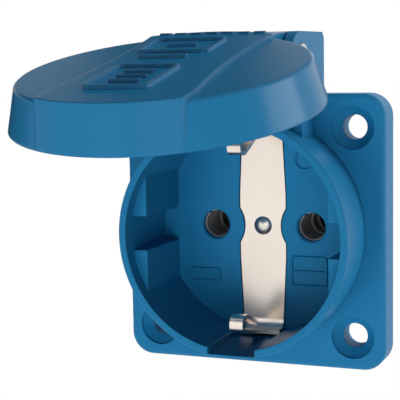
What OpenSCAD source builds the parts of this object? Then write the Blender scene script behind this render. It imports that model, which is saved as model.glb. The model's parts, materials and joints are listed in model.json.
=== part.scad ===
// Panel-mounted two-pole and earth socket outlet with a hinged lid, in millimetres.
// World frame: +X right, +Z up, the front faces -Y. The origin is the centre of the
// flange's mounting face, on the socket's axis. Pieces are drawn in a local frame with
// x right, y up and z forward, and facing_front() turns them into the world frame.

/* [Flange] */
// Side of the square flange
flange_side = 50; // [49:0.5:58]
// Thickness of the flange
flange_t = 6; // [4.5:0.25:8]
// Radius of the flange's corners in plan
flange_corner_r = 4.2; // [2.5:0.1:6]
// Rounding of the flange's front edge
flange_edge_r = 0.8; // [0.4:0.1:1.5]
// Distance between neighbouring fixing holes
bolt_spacing = 38; // [37:0.25:42]
// Diameter of a fixing hole
bolt_hole_d = 4.5; // [3.5:0.1:4.8]
// Diameter of a countersink at the flange's face
countersink_d = 7.8; // [6:0.1:8.4]
// Straight lip above a countersink's cone
countersink_lip = 0.4; // [0.1:0.1:1]

/* [Collar and recess] */
// Height of the collar's rim above the mounting face
collar_h = 18.45; // [17:0.25:22]
// Inside radius of the collar
recess_r = 20.1; // [19.8:0.1:20.6]
// Wall of the collar
collar_wall = 1.35; // [1.1:0.05:1.6]
// Thickness of the recess floor
floor_t = 3; // [2.5:0.25:4]
// Distance between the two flat sides of the recess
flats_apart = 34.3; // [33.5:0.1:35.5]
// Drop of the flat side blocks below the rim
block_drop = 3; // [2:0.25:5]
// Width of the channel through each side block
channel_w = 6.3; // [5:0.1:8]
// Width of the two keyways for the earth clips
keyway_w = 8.9; // [8.6:0.1:10]
// Depth of the keyways in the collar wall
keyway_depth = 0.75; // [0.6:0.05:0.85]

/* [Contacts] */
// Distance between the two pin holes
pin_spacing = 19; // [18.5:0.1:19.5]
// Diameter of a pin hole in the floor
pin_hole_d = 5.4; // [5.2:0.1:5.8]
// Chamfer at the mouth of a pin hole
pin_mouth = 0.35; // [0.1:0.05:0.6]
// Thickness of the floor in front of a contact sleeve
sleeve_cover = 1.5; // [1:0.1:2]
// Inside diameter of a contact sleeve
sleeve_bore_d = 5; // [4.9:0.05:5.1]
// Outside diameter of a contact sleeve
sleeve_d = 6.6; // [6.2:0.1:7]
// Sheet thickness of the tails and the earth bracket
sheet_t = 0.8; // [0.6:0.05:1]
// Width of a terminal tail
tail_w = 6.4; // [5.8:0.1:6.6]
// Distance of the terminal screws' axes from the retainer's edge
screw_inset = 4; // [3.9:0.1:4.2]
// Distance of the earth screw's axis from the retainer's edge
earth_screw_inset = 5.7; // [4.2:0.1:5.8]
// Diameter of a terminal screw's thread
screw_d = 3.5; // [3:0.1:3.8]
// Diameter of a terminal screw's head
screw_head_d = 5.4; // [4.8:0.1:5.6]
// Height of a terminal screw's head
screw_head_h = 2.2; // [1.6:0.1:2.6]
// Thickness of a clamping washer
clamp_t = 1.2; // [0.8:0.1:1.6]

/* [Earth strip] */
// Width of the strip near its middle
strip_w = 9; // [8:0.1:9.4]
// Width of the strip at its ends
strip_end_w = 7.8; // [7:0.1:8.4]
// Thickness of the strip
strip_t = 0.8; // [0.6:0.05:1]
// Depth of the strip's face below the floor
strip_sink = 0.1; // [0.05:0.05:0.4]
// Gap round the strip in its channel
strip_gap = 0.22; // [0.1:0.02:0.4]
// Radius of the strip's waist round each pin hole
waist_r = 6; // [5.6:0.1:6.4]
// Width of a clip's tongue
tongue_w = 2.5; // [2:0.1:4]
// Height of the clips' noses above the mounting face
nose_h = 15.55; // [13.5:0.05:16]
// Distance of the clips' inner faces from the axis
clip_reach = 14.45; // [14:0.05:15.5]
// Radius of a nose at mid thickness
nose_r = 1.27; // [1:0.01:1.5]
// Diameter of the rivet's front head
rivet_head_d = 3.5; // [3.2:0.1:4.5]
// Diameter of the rivet's shank
rivet_d = 2.9; // [2.4:0.1:3]

/* [Rear body] */
// Radius of the shoulder that fills the panel's hole
shoulder_r = 21.6; // [21.4:0.05:21.9]
// Depth of the shoulder behind the mounting face
shoulder_depth = 4; // [3:0.25:6]
// Radius of the body behind the shoulder
barrel_r = 19.3; // [19.1:0.05:20.5]
// Wall of the rear body
barrel_wall = 1.6; // [1.3:0.1:1.7]
// Depth of the rear body behind the mounting face
barrel_depth = 24; // [22:0.25:28]
// Thickness of the contact retainer
retainer_t = 2.5; // [2:0.25:3]
// Depth of the retainer's outer face below the rear body's edge
retainer_sink = 2; // [1.9:0.1:3]
// Width of a wire slot in the rear body
wire_slot_w = 5; // [3.5:0.25:6]
// Width of the sealing ring behind the flange
gasket_w = 1.6; // [1.2:0.1:1.8]
// Thickness of the sealing ring behind the flange
gasket_t = 1; // [0.6:0.1:1.5]

/* [Lid] */
// Angle the lid stands open, counted from closed
lid_angle = 77.4; // [0:0.2:92]
// Outside radius of the lid at its open edge
lid_rim_r = 24.6; // [24.4:0.1:25.5]
// Outside radius of the lid at its face
lid_face_r = 22.8; // [22.6:0.1:24]
// Height of the lid from its open edge to its face
lid_h = 6.78; // [6:0.1:8]
// Thickness of the lid's face plate
lid_plate_t = 1.8; // [1.4:0.1:2.2]
// Wall of the lid's skirt
lid_wall = 1.5; // [1.2:0.1:1.6]
// Rise of the waisted band above the lid's face
band_rise = 0.62; // [0.3:0.02:1]
// Width of the band at its waist
band_waist = 20; // [16:0.5:24]
// Radius of the band's two curved sides
band_side_r = 150; // [100:5:200]
// Thickness of the lid's sealing ring
seal_t = 0.9; // [0.6:0.1:1.4]
// Gap between the sealing ring and the rim when closed
seal_gap = 0.3; // [0.2:0.05:0.5]

/* [Hinge] */
// Distance of the hinge axis above the flange's top edge
hinge_rise = 5.46; // [5.2:0.02:7]
// Outside radius of the hinge knuckles and ears
knuckle_r = 5.6; // [4.8:0.1:5.8]
// Width across both knuckles of the lid
knuckle_span = 20.4; // [18:0.2:22]
// Width of one knuckle
knuckle_w = 3.4; // [2.6:0.1:4.5]
// Thickness of one ear
ear_t = 1.7; // [1.5:0.1:2.5]
// Side gap between a knuckle and its ear
ear_gap = 0.25; // [0.2:0.05:0.4]
// Distance from the mounting face to the front of the ears' ribs
rib_h = 13.85; // [12:0.05:13.9]
// Thickness of the plate behind the hinge
back_plate_t = 2.4; // [1.8:0.1:4]
// Diameter of the hinge pin
hinge_pin_d = 3; // [2.4:0.1:3.4]
// Diameter of the hinge pin's head
hinge_head_d = 7; // [4.5:0.1:8]

/* [Hidden] */
$fn = 96;

blue = [0.09, 0.38, 0.58];
nickel = [0.86, 0.82, 0.77];
contact_metal = [0.66, 0.62, 0.56];
steel = [0.70, 0.70, 0.72];
rubber = [0.12, 0.12, 0.13];
grey = [0.35, 0.36, 0.38];

slip = 0.04;             // radial clearance of a running fit
fit_gap = 0.1;           // gap between pieces that are slid together
over = 0.5;              // how far a cutter runs past a face

// Flange and collar
half_side = flange_side / 2;
bolt_at = bolt_spacing / 2;
collar_r = recess_r + collar_wall;
block_h = collar_h - block_drop;
rim_edge_r = 0.25;

// Contacts
pin_at = pin_spacing / 2;
barrel_in = barrel_r - barrel_wall;
retainer_r = barrel_in - 0.2;
retainer_depth = barrel_depth - retainer_sink - retainer_t;
screw_room = 1.3;        // between a screw's head and the retainer
tail_depth = retainer_depth - screw_room - screw_head_h - clamp_t - sheet_t;
screw_ring = retainer_r - screw_inset;
screw_drop = sqrt(screw_ring * screw_ring - pin_at * pin_at);
earth_screw_rise = retainer_r - earth_screw_inset;
sleeve_front = -sleeve_cover - fit_gap;
sleeve_seat_d = sleeve_d + 2 * fit_gap;
sleeve_boss_r = sleeve_seat_d / 2 + 1.3;
sleeve_boss_depth = tail_depth - 5.5;
grip_len = 5.8;          // plain gripping length at the sleeve's mouth
relief_len = 2.6;        // widened length behind it
ring_len = 1;            // second gripping ring
relief_d = sleeve_d - 0.6;
slit_w = 0.6;
slit_turn = 125;         // direction of the slit, from +x
pin_room_d = sleeve_bore_d + 0.6;
tail_end = tail_w / 2 - 0.2;   // tail beyond its screw
tail_pad_gap = fit_gap;
clamp_side = tail_w - 0.8;
thread_hole_d = screw_d + 2 * slip;
screw_reach = 5;         // thread below the tail
slot_cut = [1, 1.2];     // width and depth of a screwdriver slot

// Grip ring round a sleeve
grip_ring_in = sleeve_d / 2 + slip;
grip_ring_out = grip_ring_in + 0.5;
grip_ring_from = sleeve_boss_depth + 1;
grip_ring_len = 3;
grip_ring_mouth = 2;
grip_ring_room = 0.3;    // free space kept round the ring

// Earth strip
strip_face = -strip_sink;
strip_mid = strip_face - strip_t / 2;
bend_r = 2.05;           // fold at the collar wall, at mid thickness
leg_y = recess_r - 0.25;
bend_y = leg_y - bend_r;
fold_h = strip_mid + bend_r;
leg_h = fold_h + 1.05;   // where the wide fold ends and the tongue starts
nose_z = nose_h - nose_r - strip_t / 2;
nose_y = clip_reach + strip_t / 2 + nose_r;
arm_flat = 1.18;         // straight part before the arm turns outwards
arm_turn = 22;
arm_len = 6.2;
arc_steps = 10;
strip_taper_from = 6;
earth_back = floor_t + sheet_t;
rivet_hole_d = rivet_d + 2 * fit_gap;
rivet_head_h = 0.8;
rivet_tail_d = rivet_head_d + 1.3;

// Earth bracket behind the floor
bracket_foot = -2.8;
bracket_leg_y = earth_screw_rise - tail_w / 2 - sheet_t - 0.2;

// Rear body
retainer_post_r = 3.1;
retainer_post_ring = retainer_r - retainer_post_r - 0.1;
retainer_post_turn = 36; // direction of a post from the axis, from +x
retainer_post = retainer_post_ring * [cos(retainer_post_turn), sin(retainer_post_turn)];
retainer_screw_d = 2.6;
retainer_head_d = 5.2;
retainer_head_h = 1.7;
retainer_screw_len = 8;
skirt_r = 3.7;
skirt_in = 2.8;
wire_slot_from = tail_depth - 1;
groove_in = shoulder_r + 0.6;
groove_gap = 0.05;

// Lid, drawn closed
seal_h = collar_h + seal_gap;
lid_under = seal_h + seal_t;
lid_face = lid_under + lid_plate_t;
lid_rim = lid_face - lid_h;
lid_draft = (lid_rim_r - lid_face_r) / lid_h;
lid_in_rim_r = lid_rim_r - lid_wall;
lid_in_top_r = lid_in_rim_r - lid_draft * (lid_under - lid_rim);
band_face = lid_face + band_rise;
band_shift = 5.5;          // the waist lies this far towards the hinge
band_proud = 0.5;        // how far the band stands out of the skirt at the top
face_edge = 0.3;
seal_out_r = lid_in_top_r - fit_gap;
seal_in_r = recess_r - 0.8;
seal_rib = 0.7;

// Hinge
hinge_y = half_side + hinge_rise;
hinge_z = lid_rim;
ear_in = knuckle_span / 2 + ear_gap;
ear_out = ear_in + ear_t;
ear_top = hinge_y + knuckle_r;
ear_foot_y = sqrt(recess_r * recess_r - ear_in * ear_in) + 0.35;
rib_top_y = lid_rim_r - 1.8;
arm_root_y = 17;
arm_bend_y = 19;
arm_skin = 1.6;
knuckle_in = knuckle_span / 2 - knuckle_w;
hinge_bore_d = hinge_pin_d + 2 * slip;
hinge_head_t = 0.7;
peen_d = hinge_pin_d + 1.4;
peen_t = 0.5;

// ---------- helpers ----------

// Turns a piece from the local frame into the world frame
module facing_front() {
    rotate([90, 0, 0]) children();
}

// Extrudes a profile drawn in (y, z) along x, centred
module along_x(width) {
    rotate([90, 0, 90]) linear_extrude(width, center = true) children();
}

// Extrudes a profile drawn in (x, z) along y, centred
module along_y(width) {
    rotate([90, 0, 0]) linear_extrude(width, center = true) children();
}

// Copies a child to both sides of the yz plane
module both_sides() {
    for (side = [-1, 1]) scale_side(side) children();
}

module scale_side(side) {
    if (side > 0) children();
    else mirror([1, 0, 0]) children();
}

// Points of an arc, with the end point included
function arc_points(centre, r, from, to, steps) =
    [for (i = [0 : steps])
        let (a = from + (to - from) * i / steps)
        [centre[0] + r * cos(a), centre[1] + r * sin(a)]];

// Outline of a ribbon of even thickness along a path
function unit(v) = v / norm(v);
function path_dir(p, i) =
    unit(p[min(i + 1, len(p) - 1)] - p[max(i - 1, 0)]);
function side_points(p, d) =
    [for (i = [0 : len(p) - 1])
        let (t = path_dir(p, i)) [p[i][0] - t[1] * d, p[i][1] + t[0] * d]];
function reversed(p) = [for (i = [len(p) - 1 : -1 : 0]) p[i]];
function ribbon(p, t) = concat(side_points(p, t / 2), reversed(side_points(p, -t / 2)));

// Point where the line from p touches a circle; side is 1 or -1
function touch_point(p, c, r, side) =
    let (v = c - p, d = norm(v), a = atan2(v[1], v[0]) + side * asin(r / d),
         l = sqrt(d * d - r * r))
    [p[0] + l * cos(a), p[1] + l * sin(a)];

// ---------- housing ----------

// Half profile of a disc with a rounded upper edge
module rounded_disc_profile(r, h, e) {
    square([r, h - e]);
    square([r - e, h]);
    translate([r - e, h - e]) circle(e);
}

// Cross-section of a plate with both upper edges rounded
module rounded_plate_profile(half, h, e) {
    translate([-half, 0]) square([2 * half, h - e]);
    translate([-half + e, 0]) square([2 * (half - e), h]);
    for (s = [-1, 1]) translate([s * (half - e), h - e]) circle(e);
}

module flange_plate() {
    straight = half_side - flange_corner_r;
    for (sx = [-1, 1]) for (sy = [-1, 1])
        translate([sx * straight, sy * straight, 0])
            rotate_extrude() rounded_disc_profile(flange_corner_r, flange_t, flange_edge_r);
    along_x(2 * straight) rounded_plate_profile(half_side, flange_t, flange_edge_r);
    along_y(2 * straight) rounded_plate_profile(half_side, flange_t, flange_edge_r);
}

module collar_tube() {
    rotate_extrude() {
        square([collar_r, collar_h - rim_edge_r]);
        square([collar_r - rim_edge_r, collar_h]);
        translate([collar_r - rim_edge_r, collar_h - rim_edge_r]) circle(rim_edge_r);
    }
}

// One ear with its rib down to the flange and the collar, drawn in (y, z)
module ear_profile() {
    front = touch_point([rib_top_y, rib_h], [hinge_y, hinge_z], knuckle_r, 1);
    polygon([[ear_foot_y, 0], [ear_top - 1, 0], [ear_top, 1], [ear_top, hinge_z],
             [hinge_y, hinge_z], front, [rib_top_y, rib_h], [ear_foot_y, rib_h]]);
    translate([hinge_y, hinge_z]) circle(knuckle_r);
}

module hinge_ears() {
    for (side = [-1, 1])
        translate([side * (ear_in + ear_t / 2), 0, 0]) along_x(ear_t) ear_profile();
    translate([-ear_in - ear_t / 2, half_side - flange_corner_r, 0])
        cube([2 * ear_in + ear_t, ear_top - half_side + flange_corner_r, back_plate_t]);
}

module recess_cut() {
    depth = collar_h + over;
    linear_extrude(depth) intersection() {
        circle(recess_r);
        union() {
            square([flats_apart, 4 * recess_r], center = true);
            square([4 * recess_r, channel_w], center = true);
        }
    }
    translate([0, 0, block_h]) cylinder(r = recess_r, h = depth - block_h);
    translate([-keyway_w / 2, -recess_r - keyway_depth, 0])
        cube([keyway_w, 2 * (recess_r + keyway_depth), depth]);
}

// Plan of the earth strip between its folds, grown by a gap
module strip_plan(gap, end_y) {
    wide = strip_w / 2 + gap;
    narrow = strip_end_w / 2 + gap;
    difference() {
        polygon([[-narrow, -end_y], [narrow, -end_y], [wide, -strip_taper_from],
                 [wide, strip_taper_from], [narrow, end_y], [-narrow, end_y],
                 [-wide, strip_taper_from], [-wide, -strip_taper_from]]);
        for (side = [-1, 1]) translate([side * pin_at, 0]) circle(waist_r - gap);
    }
}

module fixing_hole() {
    cone = (countersink_d - bolt_hole_d) / 2;
    translate([0, 0, -over]) cylinder(d = bolt_hole_d, h = flange_t + 2 * over);
    translate([0, 0, flange_t - countersink_lip - cone])
        cylinder(d1 = bolt_hole_d, d2 = countersink_d, h = cone);
    translate([0, 0, flange_t - countersink_lip])
        cylinder(d = countersink_d, h = countersink_lip + over);
}

module pin_hole() {
    translate([0, 0, -sleeve_cover - over])
        cylinder(d = pin_hole_d, h = sleeve_cover + 2 * over);
    translate([0, 0, -pin_mouth])
        cylinder(d1 = pin_hole_d, d2 = pin_hole_d + 2 * pin_mouth, h = pin_mouth);
    translate([0, 0, -sleeve_boss_depth - over])
        cylinder(d = sleeve_seat_d, h = sleeve_boss_depth + over - sleeve_cover);
}

// Solid pad under a tail, from the floor back to the tail
module tail_pad(y_from, y_to) {
    top = tail_depth - tail_pad_gap;
    translate([-tail_w / 2, y_from, -top]) cube([tail_w, y_to - y_from, top - floor_t + over]);
}

module rear_posts() {
    both_sides() {
        translate([pin_at, 0, -sleeve_boss_depth])
            cylinder(r = sleeve_boss_r, h = sleeve_boss_depth - floor_t + over);
        translate([pin_at, 0, 0])
            tail_pad(-screw_drop, -screw_drop + tail_w / 2);
        translate([pin_at, -screw_drop, tail_pad_gap - tail_depth])
            cylinder(d = tail_w, h = tail_depth - tail_pad_gap - floor_t + over);
        translate([retainer_post[0], retainer_post[1], -retainer_depth])
            cylinder(r = retainer_post_r, h = retainer_depth - floor_t + over);
    }
    tail_pad(earth_screw_rise - tail_w / 2, earth_screw_rise + tail_end);
}

module rear_holes() {
    well = screw_reach + 1.5;
    both_sides() {
        translate([pin_at, 0, -retainer_depth])
            cylinder(r = grip_ring_out + grip_ring_room,
                     h = retainer_depth - grip_ring_from + grip_ring_room);
        translate([pin_at, -screw_drop, -tail_depth - over])
            cylinder(d = thread_hole_d + 0.6, h = well + over);
        translate([retainer_post[0], retainer_post[1], -retainer_depth - over])
            cylinder(d = retainer_screw_d + 2 * slip, h = retainer_screw_len + over);
        translate([pin_at - wire_slot_w / 2, -barrel_r - over, -barrel_depth - over])
            cube([wire_slot_w, barrel_r - screw_drop - tail_w / 2 + over,
                  barrel_depth - wire_slot_from + over]);
    }
    translate([0, earth_screw_rise, -tail_depth - over])
        cylinder(d = thread_hole_d + 0.6, h = well + over);
    translate([-wire_slot_w / 2, earth_screw_rise + tail_w / 2, -barrel_depth - over])
        cube([wire_slot_w, barrel_r, barrel_depth - wire_slot_from + over]);
}

module gasket_ring(in_r, out_r, h) {
    difference() {
        cylinder(r = out_r, h = h);
        translate([0, 0, -over]) cylinder(r = in_r, h = h + 2 * over);
    }
}

module housing() {
    color(blue) facing_front() difference() {
        union() {
            flange_plate();
            collar_tube();
            hinge_ears();
            translate([0, 0, -shoulder_depth])
                gasket_ring(barrel_in, shoulder_r, shoulder_depth + over);
            translate([0, 0, -floor_t]) cylinder(r = shoulder_r, h = floor_t + over);
            difference() {
                translate([0, 0, -barrel_depth]) cylinder(r = barrel_r, h = barrel_depth + over);
                translate([0, 0, -barrel_depth - over])
                    cylinder(r = barrel_in, h = barrel_depth - floor_t + over);
            }
            rear_posts();
        }
        recess_cut();
        translate([0, 0, strip_face - strip_t])
            linear_extrude(over + strip_t) strip_plan(strip_gap, bend_y + 1);
        translate([-keyway_w / 2, -recess_r - keyway_depth, strip_face - strip_t])
            cube([keyway_w, recess_r + keyway_depth - bend_y, over + strip_t]);
        translate([-keyway_w / 2, bend_y, strip_face - strip_t])
            cube([keyway_w, recess_r + keyway_depth - bend_y, over + strip_t]);
        both_sides() translate([pin_at, 0, 0]) pin_hole();
        translate([0, 0, -floor_t - over]) cylinder(d = rivet_hole_d, h = floor_t + over);
        for (sx = [-1, 1]) for (sy = [-1, 1])
            translate([sx * bolt_at, sy * bolt_at, 0]) fixing_hole();
        translate([0, 0, -over])
            gasket_ring(groove_in, groove_in + gasket_w, gasket_t + over);
        rear_holes();
        translate([0, hinge_y, hinge_z]) rotate([0, 90, 0])
            cylinder(d = hinge_bore_d, h = 2 * ear_out + 2 * over, center = true);
    }
}

module panel_gasket() {
    color(rubber) facing_front()
        gasket_ring(groove_in + groove_gap, groove_in + gasket_w - groove_gap, gasket_t);
}

// ---------- lid ----------

// Swings what is drawn closed to the angle at which the lid stands
module lid_swing() {
    translate([0, hinge_y, hinge_z]) rotate([-lid_angle, 0, 0])
        translate([0, -hinge_y, -hinge_z]) children();
}

module lid_cap() {
    rotate_extrude() polygon([[0, lid_rim], [lid_rim_r, lid_rim],
        [lid_face_r + lid_draft * face_edge, lid_face - face_edge],
        [lid_face_r - face_edge, lid_face], [0, lid_face]]);
}

// Waisted band across the face, which runs on down the skirt as a wedge
module lid_band() {
    intersection() {
        translate([0, 0, lid_rim]) linear_extrude(lid_h + band_rise) difference() {
            square([2 * lid_face_r, 4 * lid_rim_r], center = true);
            for (side = [-1, 1])
                translate([side * (band_waist / 2 + band_side_r), band_shift])
                    circle(band_side_r, $fn = 240);
            for (side = [-1, 1])
                translate([side * (lid_face_r / 2 + lid_face_r), 0])
                    square([lid_face_r * 2, 4 * lid_rim_r], center = true);
        }
        translate([0, 0, lid_rim])
            cylinder(r1 = lid_rim_r, r2 = lid_face_r + band_proud, h = lid_h + band_rise);
    }
}

// Side view of the arms that reach back to the hinge, drawn in (y, z)
module arm_profile() {
    bend = [arm_bend_y, band_face];
    top = touch_point(bend, [hinge_y, hinge_z], knuckle_r, 1);
    polygon([[arm_root_y, lid_under], [arm_root_y, band_face], bend, top,
             [hinge_y, hinge_z], [arm_bend_y + 1, hinge_z]]);
    translate([hinge_y, hinge_z]) circle(knuckle_r);
}

// Hollow between the two knuckles, open towards the flange
module arm_hollow_profile() {
    bend = [arm_bend_y, band_face - arm_skin];
    top = touch_point(bend, [hinge_y, hinge_z], knuckle_r - arm_skin, 1);
    start = [lid_rim_r + 0.4, bend[1] + (top[1] - bend[1])
             * (lid_rim_r + 0.4 - bend[0]) / (top[0] - bend[0])];
    polygon([[start[0], 0], start, top, [hinge_y + knuckle_r - arm_skin, hinge_z],
             [hinge_y + knuckle_r - arm_skin, 0]]);
    translate([hinge_y, hinge_z]) circle(knuckle_r - arm_skin);
}

module lid() {
    color(blue) facing_front() lid_swing() {
        difference() {
            union() {
                lid_cap();
                lid_band();
                along_x(knuckle_span) arm_profile();
            }
            rotate_extrude() polygon([[0, lid_rim - over],
                [lid_in_rim_r + lid_draft * over, lid_rim - over],
                [lid_in_top_r, lid_under], [0, lid_under]]);
            along_x(2 * knuckle_in) arm_hollow_profile();
            translate([0, hinge_y, hinge_z]) rotate([0, 90, 0])
                cylinder(d = hinge_bore_d, h = knuckle_span + 2 * over, center = true);
        }
        translate([0, 0, seal_h])
            gasket_ring(seal_in_r - fit_gap - seal_rib, seal_in_r - fit_gap, seal_t + over);
    }
}

module lid_seal() {
    color(rubber) facing_front() lid_swing()
        translate([0, 0, seal_h]) gasket_ring(seal_in_r, seal_out_r, seal_t);
}

// Pin through the ears and knuckles: round head at the right, peened at the left
module hinge_pin() {
    color(steel) facing_front() translate([0, hinge_y, hinge_z]) rotate([0, 90, 0]) {
        translate([0, 0, -ear_out]) cylinder(d = hinge_pin_d, h = 2 * ear_out);
        translate([0, 0, ear_out]) rotate_extrude()
            rounded_disc_profile(hinge_head_d / 2, hinge_head_t, hinge_head_t / 2);
        translate([0, 0, -ear_out - peen_t]) cylinder(d = peen_d, h = peen_t);
    }
}

// ---------- earth path ----------

// Middle line of the fold along the collar wall, drawn in (y, z)
function fold_path() = concat(
    [[bend_y - 1, strip_mid]],
    arc_points([bend_y, fold_h], bend_r, -90, 0, arc_steps),
    [[leg_y, leg_h]]);

// Middle line of a tongue: up the wall, round the nose and back as the sprung arm
function tongue_path() =
    let (nose = [nose_y, nose_z],
         lift = touch_point([leg_y, leg_h], nose, nose_r, -1),
         lift_angle = atan2(lift[1] - nose[1], lift[0] - nose[0]),
         crest = [nose_y - nose_r, nose_z],
         turn = [nose_y - nose_r, nose_z - arm_flat])
    concat([[leg_y, leg_h - 0.6], [leg_y, leg_h]],
        arc_points(nose, nose_r, lift_angle, 180, 2 * arc_steps),
        [turn, [turn[0] + arm_len * sin(arm_turn), turn[1] - arm_len * cos(arm_turn)]]);

module clip() {
    along_x(strip_end_w) polygon(ribbon(fold_path(), strip_t));
    along_x(tongue_w) polygon(ribbon(tongue_path(), strip_t));
}

module earth_strip() {
    color(nickel) facing_front() difference() {
        union() {
            translate([0, 0, strip_face - strip_t]) linear_extrude(strip_t)
                strip_plan(0, bend_y);
            clip();
            mirror([0, 1, 0]) clip();
        }
        translate([0, 0, -over - strip_t - strip_sink])
            cylinder(d = rivet_hole_d, h = strip_t + 2 * over);
    }
}

// Domed head of a given rise on a round base
module dome(d, rise) {
    ball_r = (d * d / 4 + rise * rise) / (2 * rise);
    intersection() {
        translate([0, 0, rise - ball_r]) sphere(ball_r);
        cylinder(d = d + 1, h = rise + 1);
    }
}

module centre_rivet() {
    color(steel) facing_front() {
        translate([0, 0, strip_face]) dome(rivet_head_d, rivet_head_h);
        translate([0, 0, -earth_back]) cylinder(d = rivet_d, h = earth_back + strip_face);
        translate([0, 0, -earth_back]) rotate([180, 0, 0]) dome(rivet_tail_d, rivet_head_h);
    }
}

// Z-shaped bracket from the rivet to the earth screw
module earth_bracket() {
    wide = tail_w;
    color(contact_metal) facing_front() difference() {
        union() {
            translate([-wide / 2, bracket_foot, -earth_back])
                cube([wide, bracket_leg_y + sheet_t - bracket_foot, sheet_t]);
            translate([-wide / 2, bracket_leg_y, -tail_depth - sheet_t])
                cube([wide, sheet_t, tail_depth + sheet_t - floor_t]);
            translate([-wide / 2, bracket_leg_y, -tail_depth - sheet_t])
                cube([wide, earth_screw_rise + tail_end - bracket_leg_y, sheet_t]);
        }
        translate([0, 0, -earth_back - over])
            cylinder(d = rivet_hole_d, h = sheet_t + 2 * over);
        translate([0, earth_screw_rise, -tail_depth - sheet_t - over])
            cylinder(d = thread_hole_d, h = sheet_t + 2 * over);
    }
}

// ---------- line and neutral contacts ----------

module sleeve_cutters() {
    mouth = sleeve_front;
    plain_end = mouth - grip_len;
    ring_from = plain_end - relief_len;
    translate([0, 0, -tail_depth - sheet_t - over])
        cylinder(d = sleeve_bore_d, h = tail_depth + sheet_t + 2 * over);
    translate([0, 0, ring_from]) cylinder(d = relief_d, h = relief_len);
    translate([0, 0, -tail_depth - over])
        cylinder(d = relief_d, h = ring_from - ring_len + tail_depth + over);
    rotate([0, 0, slit_turn]) translate([0, -slit_w / 2, -tail_depth + 1])
        cube([sleeve_d, slit_w, tail_depth]);
}

// Split sleeve with a flat tail that runs down to the terminal screw
module contact() {
    difference() {
        union() {
            translate([0, 0, -tail_depth]) cylinder(d = sleeve_d, h = tail_depth + sleeve_front);
            translate([0, 0, -tail_depth - sheet_t]) {
                cylinder(r = sleeve_d / 2 + 0.5, h = sheet_t);
                translate([-tail_w / 2, -screw_drop, 0]) cube([tail_w, screw_drop, sheet_t]);
                translate([0, -screw_drop, 0]) cylinder(d = tail_w, h = sheet_t);
            }
        }
        sleeve_cutters();
        translate([0, -screw_drop, -tail_depth - sheet_t - over])
            cylinder(d = thread_hole_d, h = sheet_t + 2 * over);
    }
}

module contact_left() {
    color(contact_metal) facing_front() translate([-pin_at, 0, 0]) contact();
}

module contact_right() {
    color(contact_metal) facing_front() translate([pin_at, 0, 0]) contact();
}

// Open steel ring that closes the split sleeve on the plug's pin
module grip_ring() {
    translate([0, 0, -grip_ring_from - grip_ring_len]) difference() {
        gasket_ring(grip_ring_in, grip_ring_out, grip_ring_len);
        rotate([0, 0, slit_turn]) translate([0, -grip_ring_mouth / 2, -over])
            cube([grip_ring_out + over, grip_ring_mouth, grip_ring_len + 2 * over]);
    }
}

module grip_ring_left() {
    color(steel) facing_front() translate([-pin_at, 0, 0]) grip_ring();
}

module grip_ring_right() {
    color(steel) facing_front() translate([pin_at, 0, 0]) grip_ring();
}

// ---------- terminals ----------

// Square clamping washer with two turned-down lips that hold the wire in
module clamp() {
    lip = 0.7;
    translate([0, 0, -tail_depth - sheet_t - clamp_t]) difference() {
        translate([-clamp_side / 2, -clamp_side / 2, 0])
            cube([clamp_side, clamp_side, clamp_t]);
        translate([0, 0, -over]) cylinder(d = screw_d + 2 * fit_gap, h = clamp_t + 2 * over);
        translate([-clamp_side / 2 + lip, -clamp_side, clamp_t / 2])
            cube([clamp_side - 2 * lip, 2 * clamp_side, clamp_t]);
    }
}

module clamp_left() {
    color(steel) facing_front() translate([-pin_at, -screw_drop, 0]) clamp();
}

module clamp_right() {
    color(steel) facing_front() translate([pin_at, -screw_drop, 0]) clamp();
}

module clamp_earth() {
    color(steel) facing_front() translate([0, earth_screw_rise, 0]) clamp();
}

// Slotted cheese-head screw, its head's underside at z = 0 and its tip forward
module slotted_screw(d, length, head_d, head_h) {
    difference() {
        union() {
            cylinder(d = d, h = length);
            rotate([180, 0, 0]) rotate_extrude()
                rounded_disc_profile(head_d / 2, head_h, 0.3);
        }
        translate([-head_d / 2 - over, -slot_cut[0] / 2, -head_h - over])
            cube([head_d + 2 * over, slot_cut[0], slot_cut[1] + over]);
    }
}

module terminal_screws() {
    seat = -tail_depth - sheet_t - clamp_t;
    length = clamp_t + sheet_t + screw_reach;
    color(steel) facing_front()
        for (at = [[-pin_at, -screw_drop], [pin_at, -screw_drop], [0, earth_screw_rise]])
            translate([at[0], at[1], seat])
                slotted_screw(screw_d, length, screw_head_d, screw_head_h);
}

// ---------- retainer ----------

module retainer() {
    rear = retainer_depth + retainer_t;
    color(grey) facing_front() difference() {
        union() {
            translate([0, 0, -rear]) cylinder(r = retainer_r, h = retainer_t);
            both_sides() translate([pin_at, 0, -retainer_depth - over])
                cylinder(r = skirt_r,
                         h = retainer_depth + over - tail_depth - sheet_t - fit_gap);
        }
        both_sides() {
            translate([pin_at, 0, -retainer_depth])
                cylinder(r = skirt_in, h = retainer_depth);
            translate([pin_at, -screw_drop, -rear - over])
                cylinder(d = screw_head_d + 1, h = retainer_t + 2 * over);
            translate([retainer_post[0], retainer_post[1], -rear - over])
                cylinder(d = retainer_screw_d + 4 * fit_gap, h = retainer_t + 2 * over);
        }
        translate([0, earth_screw_rise, -rear - over])
            cylinder(d = screw_head_d + 1, h = retainer_t + 2 * over);
    }
}

module retainer_screws() {
    seat = -retainer_depth - retainer_t;
    color(steel) facing_front() both_sides()
        translate([retainer_post[0], retainer_post[1], seat])
            slotted_screw(retainer_screw_d, retainer_screw_len + retainer_t - 1,
                          retainer_head_d, retainer_head_h);
}

housing();
lid();
hinge_pin();
lid_seal();
panel_gasket();
earth_strip();
centre_rivet();
earth_bracket();
contact_left();
contact_right();
grip_ring_left();
grip_ring_right();
clamp_left();
clamp_right();
clamp_earth();
terminal_screws();
retainer();
retainer_screws();
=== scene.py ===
import json
import math

import bmesh
import bpy
from mathutils import Matrix, Vector


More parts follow.
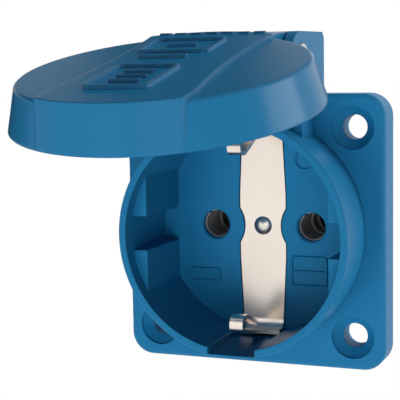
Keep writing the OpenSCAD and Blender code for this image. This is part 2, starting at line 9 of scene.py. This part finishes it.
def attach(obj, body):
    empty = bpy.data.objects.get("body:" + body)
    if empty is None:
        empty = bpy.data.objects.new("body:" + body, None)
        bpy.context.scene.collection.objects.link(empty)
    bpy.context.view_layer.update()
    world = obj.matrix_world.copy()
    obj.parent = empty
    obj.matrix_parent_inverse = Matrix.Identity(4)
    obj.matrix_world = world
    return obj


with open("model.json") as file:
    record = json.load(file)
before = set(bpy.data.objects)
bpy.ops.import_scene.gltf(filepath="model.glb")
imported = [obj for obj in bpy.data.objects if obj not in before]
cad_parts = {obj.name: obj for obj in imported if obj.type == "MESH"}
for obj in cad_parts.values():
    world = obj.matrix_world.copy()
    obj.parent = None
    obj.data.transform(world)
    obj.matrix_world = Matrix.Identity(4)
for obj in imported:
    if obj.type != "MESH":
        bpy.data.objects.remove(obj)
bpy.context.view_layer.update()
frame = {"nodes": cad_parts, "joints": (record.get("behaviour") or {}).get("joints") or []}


# ---------------------------------------------------------------- studio
# A long lens looks slightly down at the outlet from its right. Plain white
# paper lies well below it, and soft lamps stand in front, on its right and above.

MM = 0.001                                     # one millimetre, in metres

eye = Vector((74.733, -218.256, 31.908)) * MM
look_right = Vector((0.92883, 0.37011, -0.01710))
look_up = Vector((-0.02706, 0.11380, 0.99313))
look_back = look_right.cross(look_up).normalized()

lens = bpy.data.cameras.new("camera")
lens.sensor_width = 36
lens.lens = 110.5
lens.clip_start = 0.01
lens.clip_end = 20
camera = bpy.data.objects.new("camera", lens)
camera.matrix_world = Matrix((
    (look_right.x, look_up.x, look_back.x, eye.x),
    (look_right.y, look_up.y, look_back.y, eye.y),
    (look_right.z, look_up.z, look_back.z, eye.z),
    (0, 0, 0, 1)))
bpy.context.scene.collection.objects.link(camera)
bpy.context.scene.camera = camera
bpy.context.scene.view_settings.view_transform = "Standard"


class Value:
    """What a socket gives, such as a number that changes over a surface.

    Sums, differences and products of numbers add their Math nodes.
    """

    def __init__(self, paint, socket):
        self.paint = paint
        self.socket = socket

    def math(self, operation, first, second):
        return self.paint.node("ShaderNodeMath", {"operation": operation},
                               {0: first, 1: second})["Value"]

    def __add__(self, other):
        return self.math("ADD", self, other)

    def __sub__(self, other):
        return self.math("SUBTRACT", self, other)

    def __rsub__(self, other):
        return self.math("SUBTRACT", other, self)

    def __mul__(self, other):
        return self.math("MULTIPLY", self, other)

    __radd__ = __add__
    __rmul__ = __mul__

    def clamped(self):
        """The same number, held between 0 and 1."""
        return self.paint.node("ShaderNodeClamp", None, {"Value": self})["Result"]


class Paint:
    """The nodes of a material, or of the world, under construction."""

    def __init__(self, owner):
        owner.use_nodes = True
        self.owner = owner
        self.tree = owner.node_tree
        self.tree.nodes.clear()

    def node(self, kind, settings=None, inputs=None):
        """Adds a node and returns its outputs by name."""
        made = self.tree.nodes.new(kind)
        for key, value in (settings or {}).items():
            setattr(made, key, value)
        for key, value in (inputs or {}).items():
            if isinstance(value, Value):
                self.tree.links.new(value.socket, made.inputs[key])
            else:
                made.inputs[key].default_value = value
        return {out.name: Value(self, out) for out in made.outputs if out.enabled}

    def noise(self, scale, detail, where=None):
        """Soft noise with about this many waves to a metre."""
        place = where or self.node("ShaderNodeTexCoord")["Object"]
        return self.node("ShaderNodeTexNoise", None,
                         {"Vector": place, "Scale": scale, "Detail": detail})["Fac"]

    def blend(self, factor, first, second):
        """A colour between the first and the second."""
        return self.node("ShaderNodeMix", {"data_type": "RGBA"},
                         {0: factor, 6: first, 7: second})["Result"]

    def surface(self, **inputs):
        """Finishes a material with these inputs of its shader."""
        shader = self.node("ShaderNodeBsdfPrincipled", None,
                           {key.replace("_", " "): value for key, value in inputs.items()})
        self.node("ShaderNodeOutputMaterial", None, {"Surface": shader["BSDF"]})
        return self.owner


world = bpy.data.worlds.new("studio")
bpy.context.scene.world = world
air = Paint(world)


def rise(value, start, full):
    """0 up to start, 1 from full on, and straight between them."""
    return ((value - start) * (1 / (full - start))).clamped()


# Rays from the camera find plain white. Those by way of metal or gloss find white
# in front of the outlet, on its right and in a low wall behind it, fainter at the
# wall's left end and faintest in its middle, and they find dark elsewhere.
rays = air.node("ShaderNodeLightPath")
heading = air.node("ShaderNodeSeparateXYZ", None,
                   {"Vector": air.node("ShaderNodeTexCoord")["Generated"]})
in_front = rise(heading["Y"], 1 / 6, -1 / 6)
on_right = rise(heading["X"], 0, 0.25)
wall_height = rise(heading["Z"], 0.025, 0.15) * rise(heading["Z"], 0.42, 0.37)
wall_left, wall_middle = 0.5, 0.06
wall_length = (rise(heading["X"], -0.34, -0.29)
               + rise(heading["X"], -0.43, -0.48) * wall_left + wall_middle)
mirrored_white = (in_front + on_right + wall_height * wall_length).clamped()
shown_white = (rays["Is Camera Ray"] + rays["Is Transmission Ray"]
               + rays["Is Glossy Ray"] * mirrored_white).clamped()
fill_light = 0.02
sky = air.node("ShaderNodeBackground", None,
               {"Color": (1, 1, 1, 1),
                "Strength": shown_white * (1 - fill_light) + fill_light})
air.node("ShaderNodeOutputWorld", None, {"Surface": sky["Background"]})

# A lamp of full_light watts, one metre away, shows a surface in its own colour.
# Each row gives a lamp's place and size in metres, its share of full_light, and
# whether gloss mirrors it. All of them face the outlet.
full_light = math.pi ** 2
for name, place, size, share, mirrored in (
        ("lamp_low_left", (-0.40, -0.85, -0.34), (0.6, 0.6), 0.48, False),
        ("lamp_low_right", (0.32, -0.89, -0.32), (0.6, 0.6), 0.54, False),
        ("lamp_high_front", (0.30, -0.87, 0.38), (0.6, 0.5), 0.09, True),
        ("lamp_right", (0.91, 0.33, 0.26), (0.6, 0.9), 0.80, True),
        ("lamp_top", (-0.10, 0.45, 0.88), (0.6, 0.5), 0.62, False)):
    light = bpy.data.lights.new(name, "AREA")
    light.shape = "RECTANGLE"
    light.size, light.size_y = size
    light.energy = share * full_light
    holder = bpy.data.objects.new(name, light)
    holder.location = place
    holder.rotation_euler = (-Vector(place)).to_track_quat("-Z", "Y").to_euler()
    holder.visible_camera = False
    holder.visible_glossy = mirrored
    bpy.context.scene.collection.objects.link(holder)

paper_drop, paper_reach = 0.55, 3.0
paper_mirrored = 0.8                           # share of it that gloss finds white
paper_mesh = bpy.data.meshes.new("paper")
paper_mesh.from_pydata([(x * paper_reach, y * paper_reach, -paper_drop)
                        for x, y in ((-1, -1), (1, -1), (1, 1), (-1, 1))],
                       [], [(0, 1, 2, 3)])
paper = bpy.data.objects.new("paper", paper_mesh)
bpy.context.scene.collection.objects.link(paper)
sheet = Paint(bpy.data.materials.new("white_paper"))
rays = sheet.node("ShaderNodeLightPath")
shown_white = (rays["Is Camera Ray"] + rays["Is Transmission Ray"]
               + rays["Is Glossy Ray"] * paper_mirrored).clamped()
white = sheet.node("ShaderNodeEmission", None, {"Color": (1, 1, 1, 1), "Strength": 1.0})
matt = sheet.node("ShaderNodeBsdfDiffuse", None, {"Color": (0.75, 0.75, 0.75, 1)})
either = sheet.node("ShaderNodeMixShader", None,
                    {0: shown_white, 1: matt["BSDF"], 2: white["Emission"]})
sheet.node("ShaderNodeOutputMaterial", None, {"Surface": either["Shader"]})
paper_mesh.materials.append(sheet.owner)


# ---------------------------------------------------------------- housing
# Flange, collar, hinge ears and rear body are one injection moulding in blue
# polyamide. The mould was finely spark-eroded, so the gloss is slightly broken.

def give(node, material):
    """Puts a material on all of a CAD node's slots."""
    for slot in frame["nodes"][node].material_slots:
        slot.material = material


def moulded(name, colour, streak, rough, edge, grain):
    """A moulded plastic with faint flow marks, edge and grain in millimetres."""
    flow_scale, grain_scale = 55, 2600
    flow_rough, grain_rough = 0.05, 0.06
    paint = Paint(bpy.data.materials.new(name))
    flow = paint.noise(flow_scale, 3.0)
    fine = paint.noise(grain_scale, 2.0)
    soft = paint.node("ShaderNodeBevel", {"samples": 6}, {"Radius": edge * MM})
    bump = paint.node("ShaderNodeBump", None,
                      {"Strength": 0.35, "Distance": grain * MM, "Height": fine,
                       "Normal": soft["Normal"]})
    return paint.surface(
        Base_Color=paint.blend(flow, colour, streak),
        Roughness=fine * grain_rough + rough + flow * flow_rough,
        Specular_IOR_Level=0.15,
        Normal=bump["Normal"])


shell_blue = (0.010, 0.158, 0.332, 1)
shell_blue_flow = (0.011, 0.166, 0.347, 1)
housing_blue = moulded("blue_shell_housing", shell_blue, shell_blue_flow, 0.35, 0.3, 0.02)
give("housing", housing_blue)


# ---------------------------------------------------------------- lid
# The lid is a round cap in the same blue polyamide, with a waisted band raised
# across it. Its face is a little glossier, and its knuckles turn on the hinge pin.

lid_blue = moulded("blue_shell_lid", shell_blue, shell_blue_flow, 0.17, 0.5, 0.01)
give("lid", lid_blue)


# ---------------------------------------------------------------- lid relief
# Blank label fields stand up from the lid's band, and a row of grip ribs from
# the slope behind it. They are cut into the mould, so they share the lid's
# plastic and have drafted sides.

hinge = frame["joints"][0]
hinge_at = Vector(hinge["pos_m"])
opened = math.radians(-hinge["range_deg"][0])
shut_to_rest = (Matrix.Translation(hinge_at)
                @ Matrix.Rotation(opened, 4, Vector(hinge["axis"]))
                @ Matrix.Translation(-hinge_at))


def ridge(mesh, path, width, height, closed):
    """Adds a drafted ridge along a flat path, its face towards -Y."""
    sunk = 0.1 * MM                            # how far its foot stands in the face
    top = 0.62                                 # its width there, as a share
    last = len(path) - 1
    rings = []
    for i, (x, z) in enumerate(path):
        before = path[i - 1] if closed or i > 0 else path[0]
        after = path[(i + 1) % len(path)] if closed or i < last else path[last]
        along = (Vector(after) - Vector(before)).normalized()
        across = Vector((-along.y, along.x))
        ring = []
        for side, up in ((-1, -sunk), (-top, height), (top, height), (1, -sunk)):
            spot = Vector((x, z)) + across * side * width / 2
            ring.append(mesh.verts.new((spot.x, -up, spot.y)))
        rings.append(ring)
    for one, two in zip(rings, rings[1:] + rings[:1] if closed else rings[1:]):
        for k in range(3):
            mesh.faces.new((one[k], two[k], two[k + 1], one[k + 1]))
    if not closed:
        mesh.faces.new(rings[0])
        mesh.faces.new(list(reversed(rings[-1])))


def bar(mesh, x, z, length, width, height):
    """Adds a level bar about x, z. All sizes are in millimetres."""
    ridge(mesh, [((x - length / 2) * MM, z * MM), ((x + length / 2) * MM, z * MM)],
          width * MM, height * MM, False)


def field(mesh, x, z, wide, tall, corner, width, height):
    """Adds a rounded frame about x, z. All sizes are in millimetres."""
    steps = 5                                  # to each corner
    path = []
    for turn, right, up in ((0, 1, 1), (90, -1, 1), (180, -1, -1), (270, 1, -1)):
        corner_x = x + right * (wide / 2 - corner)
        corner_z = z + up * (tall / 2 - corner)
        for k in range(steps + 1):
            angle = math.radians(turn + 90 * k / steps)
            path.append(((corner_x + corner * math.cos(angle)) * MM,
                         (corner_z + corner * math.sin(angle)) * MM))
    ridge(mesh, path, width * MM, height * MM, True)


def relief(name, build, place, body, material):
    """Makes a relief piece: build draws it flat and place carries it to its face."""
    mesh = bmesh.new()
    build(mesh)
    bmesh.ops.recalc_face_normals(mesh, faces=mesh.faces)
    mesh.transform(place)
    data = bpy.data.meshes.new(name)
    mesh.to_mesh(data)
    mesh.free()
    data.materials.append(material)
    piece = bpy.data.objects.new(name, data)
    bpy.context.scene.collection.objects.link(piece)
    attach(piece, body)


def lid_fields(mesh):
    line, high, corner = 0.9, 0.5, 1.2
    field(mesh, -1.2, -8.8, 10, 13, corner, line, high)
    for z in (-11.6, -8.8, -6.0):
        bar(mesh, -1.2, z, 4.8, line, high)
    bar(mesh, -1.6, 4.0, 8.0, 1.6, high)
    field(mesh, -1.6, 12.0, 12, 9, corner, line, high)
    bar(mesh, -1.6, 12.0, 5.0, line, high)


band_front = 22.07 * MM                        # from the mounting face, lid shut
relief("lid_label_fields", lid_fields,
       shut_to_rest @ Matrix.Translation((0, -band_front, 0)), "lid", lid_blue)


def hinge_ribs(mesh):
    step = 2.8
    for k in (-3, -2, -1, 0, 1, 2, 3):
        bar(mesh, k * step, 0, 1.9, 1.3, 0.62)


slope_at = (0, -21.69 * MM, 21.5 * MM)         # middle of the ribs, lid shut
slope_turn = math.radians(-8.65)
relief("hinge_grip_ribs", hinge_ribs,
       shut_to_rest @ Matrix.Translation(slope_at) @ Matrix.Rotation(slope_turn, 4, "X"),
       "lid", lid_blue)


# ---------------------------------------------------------------- floor relief
# Shallow blank fields and a plain ring stand up from the recess floor, where a
# moulder leaves room for a rating and a date stamp. They are part of the housing.

def floor_fields(mesh):
    line, high, corner = 0.45, 0.3, 0.5
    field(mesh, 9.1, -8.4, 6.8, 5.4, corner, line, high)
    bar(mesh, 9.1, -8.4, 5.8, line, high)
    field(mesh, -11.8, -9.9, 6.0, 2.3, corner, line, high)
    ring_x, ring_z, ring_radius, pointer, steps = 8.3, 12.6, 1.8, 1.3, 24
    turns = [math.tau * k / steps for k in range(steps)]
    ridge(mesh, [((ring_x + ring_radius * math.cos(turn)) * MM,
                  (ring_z + ring_radius * math.sin(turn)) * MM) for turn in turns],
          line * MM, high * MM, True)
    ridge(mesh, [(ring_x * MM, ring_z * MM), (ring_x * MM, (ring_z + pointer) * MM)],
          line * MM, high * MM, False)


relief("floor_label_fields", floor_fields, Matrix.Identity(4), "base", housing_blue)


# ---------------------------------------------------------------- seals
# Two moulded rings of black rubber, dull and a little dusty. One is pressed into
# the lid and the other into the groove behind the flange.

rubber = Paint(bpy.data.materials.new("black_rubber"))
dust = rubber.noise(300, 4.0)
rubber_grain = rubber.node("ShaderNodeBump", None,
                           {"Strength": 0.5, "Distance": 0.02 * MM,
                            "Height": rubber.noise(5000, 2.0)})
black_rubber = rubber.surface(
    Base_Color=rubber.blend(dust, (0.012, 0.012, 0.013, 1), (0.03, 0.03, 0.031, 1)),
    Roughness=dust * 0.2 + 0.55,
    Normal=rubber_grain["Normal"])
give("lid_seal", black_rubber)
give("panel_gasket", black_rubber)


# ---------------------------------------------------------------- earth strip
# The strip and its two clips are one piece of nickel-plated spring bronze sheet,
# rolled along its length, blanked and folded. The rivet holds it to the floor.

def metallic(name, colour, shade, rough, waves, grain=0.01, metal=1.0):
    """Rolled or turned metal: waves to a metre along X, Y, Z, grain in millimetres."""
    line_rough, cloud_rough = 0.06, 0.05
    paint = Paint(bpy.data.materials.new(name))
    place = paint.node("ShaderNodeTexCoord")["Object"]
    stretched = paint.node("ShaderNodeVectorMath", {"operation": "MULTIPLY"},
                           {0: place, 1: waves})["Vector"]
    lines = paint.noise(1.0, 3.0, stretched)
    cloud = paint.noise(90, 3.0)
    bump = paint.node("ShaderNodeBump", None,
                      {"Strength": 0.12, "Distance": grain * MM, "Height": lines})
    return paint.surface(
        Base_Color=paint.blend(cloud, colour, shade),
        Metallic=metal,
        Roughness=lines * line_rough + rough + cloud * cloud_rough,
        Normal=bump["Normal"])


give("earth_strip", metallic(
    "nickel_plate", (1.0, 0.90, 0.81, 1), (0.90, 0.81, 0.73, 1), 0.20, (9000, 9000, 400)))


# ---------------------------------------------------------------- centre rivet
# A turned steel rivet with a polished domed head. It goes through the floor and
# is closed behind on the earth bracket.

give("centre_rivet", metallic(
    "polished_steel", (1.0, 0.94, 0.88, 1), (0.86, 0.81, 0.76, 1), 0.28,
    (2500, 2500, 2500)))


# ---------------------------------------------------------------- contacts
# The two contact sleeves with their tails, and the earth bracket, are folded
# from thin brass sheet with a dull plating. They lie in pockets of the housing.

plated_sheet = metallic(
    "plated_contact_sheet", (0.40, 0.40, 0.40, 1), (0.34, 0.34, 0.34, 1), 0.40,
    (6000, 500, 6000), metal=0.5)
for node in ("contact_left", "contact_right", "earth_bracket"):
    give(node, plated_sheet)


# ---------------------------------------------------------------- steel fittings
# The hinge pin, the rings that close the sleeves, the clamping washers and all
# screws are steel with a bright zinc plating.

zinc_plate = metallic(
    "zinc_plate", (0.62, 0.62, 0.63, 1), (0.50, 0.50, 0.52, 1), 0.26,
    (3000, 3000, 3000), grain=0.02)
for node in ("hinge_pin", "grip_ring_left", "grip_ring_right", "clamp_left", "clamp_right",
             "clamp_earth", "terminal_screws", "retainer_screws"):
    give(node, zinc_plate)


# ---------------------------------------------------------------- retainer
# A moulded disc of dark grey insulator closes the rear body and presses on the
# tails of the contacts. Two screws hold it.

give("retainer", moulded("grey_insulator_disc", (0.085, 0.088, 0.095, 1),
                         (0.10, 0.103, 0.11, 1), 0.47, 0.2, 0.03))
